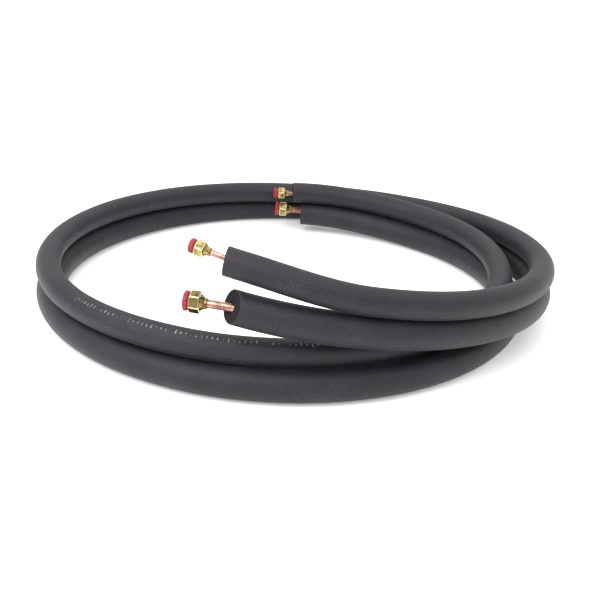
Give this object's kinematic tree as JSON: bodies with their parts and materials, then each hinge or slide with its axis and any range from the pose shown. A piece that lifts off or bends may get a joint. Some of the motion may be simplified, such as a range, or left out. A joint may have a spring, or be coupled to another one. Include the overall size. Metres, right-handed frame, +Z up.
{
  "type": "insulated split line set",
  "caption": "Coiled pair of soft copper refrigerant lines in black foam insulation, with plugged brass flare nuts at the ends.",
  "frame": {"origin": "on the floor, below the middle of the coil", "axes": "+Z up, the coil lies flat round Z; -Y is the side on which the raised front ends lie, with their plugs pointing to -X"},
  "size_m": [0.71, 0.704, 0.1776],
  "materials": {
    "foam": "closed-cell elastomeric foam, matt with a soft sheen",
    "copper": "soft drawn copper, satin",
    "brass": "bright machined brass",
    "plug_red": "moulded red plastic"
  },
  "bodies": {
    "lines": {"suction_insulation": "foam", "suction_tube": "copper", "liquid_insulation": "foam", "liquid_tube": "copper"},
    "suction_nut_front": {"suction_nut_front": "brass"},
    "suction_plug_front": {"suction_plug_front": "plug_red"},
    "suction_nut_back": {"suction_nut_back": "brass"},
    "suction_plug_back": {"suction_plug_back": "plug_red"},
    "liquid_nut_front": {"liquid_nut_front": "brass"},
    "liquid_plug_front": {"liquid_plug_front": "plug_red"},
    "liquid_nut_back": {"liquid_nut_back": "brass"},
    "liquid_plug_back": {"liquid_plug_back": "plug_red"}
  },
  "joints": [
    {"name": "suction_nut_front_swivel", "type": "hinge", "parent": "lines", "child": "suction_nut_front", "pos_m": [-0.09156, -0.32243, 0.11029], "axis": [-0.9832, 0.177, 0.0441], "continuous": true},
    {"name": "suction_plug_front_draw", "type": "slide", "parent": "suction_nut_front", "child": "suction_plug_front", "axis": [-0.9832, 0.177, 0.0441], "range_m": [0, 0.0087]},
    {"name": "suction_nut_back_swivel", "type": "hinge", "parent": "lines", "child": "suction_nut_back", "pos_m": [-0.01125, 0.27027, 0.03524], "axis": [-0.9987, 0.0013, 0.0504], "continuous": true},
    {"name": "suction_plug_back_draw", "type": "slide", "parent": "suction_nut_back", "child": "suction_plug_back", "axis": [-0.9987, 0.0013, 0.0504], "range_m": [0, 0.0087]},
    {"name": "liquid_nut_front_swivel", "type": "hinge", "parent": "lines", "child": "liquid_nut_front", "pos_m": [-0.08921, -0.30905, 0.16422], "axis": [-0.9329, 0.2907, 0.2124], "continuous": true},
    {"name": "liquid_plug_front_draw", "type": "slide", "parent": "liquid_nut_front", "child": "liquid_plug_front", "axis": [-0.9329, 0.2907, 0.2124], "range_m": [0, 0.008]},
    {"name": "liquid_nut_back_swivel", "type": "hinge", "parent": "lines", "child": "liquid_nut_back", "pos_m": [-0.01563, 0.26489, 0.06474], "axis": [-0.9958, -0.0864, 0.0315], "continuous": true},
    {"name": "liquid_plug_back_draw", "type": "slide", "parent": "liquid_nut_back", "child": "liquid_plug_back", "axis": [-0.9958, -0.0864, 0.0315], "range_m": [0, 0.008]}
  ]
}
